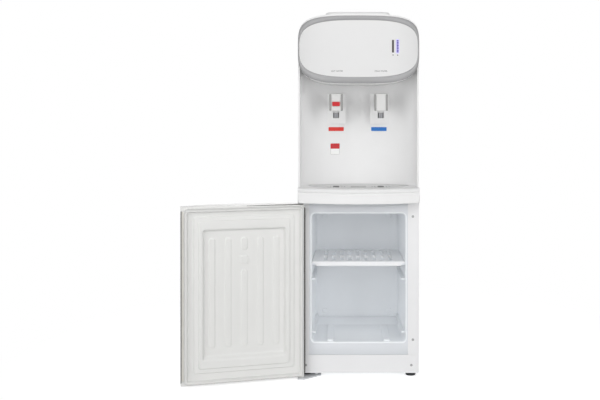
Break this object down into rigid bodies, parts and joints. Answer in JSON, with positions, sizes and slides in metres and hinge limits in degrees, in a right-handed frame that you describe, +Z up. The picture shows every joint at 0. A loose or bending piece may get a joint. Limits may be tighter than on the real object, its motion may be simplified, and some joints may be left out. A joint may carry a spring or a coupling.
{
  "type": "top-loading water cooler",
  "caption": "White free-standing bottle water cooler: bowed display head, alcove with hot and cold push taps, drip tray, and a storage cabinet with a hinged door and slotted shelf.",
  "frame": {"origin": "middle of the footprint of the feet, on the floor", "axes": "+Z up, front faces -Y, +X to the right seen from the front"},
  "size_m": [0.6155, 0.4256, 0.972],
  "materials": {
    "painted_steel": "satin",
    "zinc_steel": "satin",
    "screw_steel": "satin",
    "white_abs": "satin",
    "display_white": "gloss",
    "silver_trim": "satin",
    "indicator": "gloss",
    "circuit_board": "satin",
    "liner_white": "satin",
    "shelf_white": "satin",
    "cap_plastic": "satin",
    "gasket_rubber": "matte",
    "black_rubber": "matte",
    "foam": "matte",
    "stainless": "satin",
    "copper": "satin",
    "black_enamel": "satin",
    "silicone": "satin",
    "tap_plastic": "satin",
    "lever_silver": "satin",
    "lock_red": "gloss",
    "nozzle_chrome": "polished",
    "nut_plastic": "matte",
    "tray_grey": "satin",
    "switch_black": "satin",
    "switch_red": "gloss",
    "switch_green": "gloss"
  },
  "bodies": {
    "cabinet": {"side_panel_left": "painted_steel", "side_panel_right": "painted_steel", "kick_panel": "painted_steel", "base_plate": "zinc_steel", "tank_deck": "zinc_steel", "tank_shelf": "zinc_steel", "back_panel": "zinc_steel", "lower_hinge_plate": "zinc_steel", "upper_hinge_plate": "zinc_steel", "condenser_clips": "zinc_steel", "front_screws": "screw_steel", "tap_lever_pins": "screw_steel", "front_panel": "white_abs", "display_housing": "white_abs", "top_cover": "white_abs", "bottle_collar": "white_abs", "display_panel": "display_white", "display_bezel": "silver_trim", "indicator_bars": "indicator", "control_board": "circuit_board", "cabinet_liner": "liner_white", "levelling_feet": "black_rubber", "compressor_mounts": "black_rubber", "cord_gland": "black_rubber", "cold_tank_jacket": "foam", "hot_tank_jacket": "foam", "cold_tank": "stainless", "hot_tank": "stainless", "heater_band": "stainless", "evaporator_coil": "copper", "filter_drier": "copper", "refrigerant_lines": "copper", "compressor": "black_enamel", "condenser_coil": "black_enamel", "condenser_wires": "black_enamel", "water_tubes": "silicone", "drain_tube": "silicone", "hot_tap_body": "tap_plastic", "cold_tap_body": "tap_plastic", "tap_nozzles": "nozzle_chrome", "tap_nuts": "nut_plastic", "switch_housing": "switch_black", "hot_thermostat": "switch_black", "drain_cap": "switch_black"},
    "door": {"door_skin": "white_abs", "door_top_cap": "cap_plastic", "door_bottom_cap": "cap_plastic", "door_liner": "liner_white", "door_gasket": "gasket_rubber", "door_core": "foam", "hinge_bushes": "nut_plastic"},
    "shelf": {"shelf": "shelf_white"},
    "hot_lever": {"hot_tap_lever": "lever_silver"},
    "hot_lock": {"hot_lock_button": "lock_red"},
    "cold_lever": {"cold_tap_lever": "lever_silver"},
    "drip_tray": {"drip_tray": "tray_grey"},
    "drip_grille": {"drip_grille": "tray_grey"},
    "hot_switch": {"hot_switch": "switch_red"},
    "cold_switch": {"cold_switch": "switch_green"}
  },
  "joints": [
    {"name": "door_swing", "type": "hinge", "parent": "cabinet", "child": "door", "pos_m": [-0.1515, -0.176, 0.235], "axis": [0, 0, -1], "range_deg": [-165.5, 9.5]},
    {"name": "shelf_slide", "type": "slide", "parent": "cabinet", "child": "shelf", "axis": [0, -1, 0], "range_m": [0, 0.19]},
    {"name": "hot_lever_push", "type": "hinge", "parent": "cabinet", "child": "hot_lever", "pos_m": [-0.0595, -0.138, 0.739], "axis": [1, 0, 0], "range_deg": [0, 8], "stiffness_Nm_per_rad": 1.5},
    {"name": "hot_lock_press", "type": "slide", "parent": "hot_lever", "child": "hot_lock", "axis": [0, 1, 0], "range_m": [0, 0.0025], "stiffness_N_per_m": 300},
    {"name": "cold_lever_push", "type": "hinge", "parent": "cabinet", "child": "cold_lever", "pos_m": [0.0595, -0.138, 0.739], "axis": [1, 0, 0], "range_deg": [0, 8], "stiffness_Nm_per_rad": 1.5},
    {"name": "drip_tray_lift", "type": "slide", "parent": "cabinet", "child": "drip_tray", "axis": [0, 0, 1], "range_m": [0, 0.06]},
    {"name": "drip_grille_lift", "type": "slide", "parent": "drip_tray", "child": "drip_grille", "axis": [0, 0, 1], "range_m": [0, 0.05]},
    {"name": "hot_switch_rock", "type": "hinge", "parent": "cabinet", "child": "hot_switch", "pos_m": [0.122, 0.1242, 0.86], "axis": [1, 0, 0], "range_deg": [0, 16]},
    {"name": "cold_switch_rock", "type": "hinge", "parent": "cabinet", "child": "cold_switch", "pos_m": [0.122, 0.1242, 0.828], "axis": [1, 0, 0], "range_deg": [0, 16]}
  ]
}
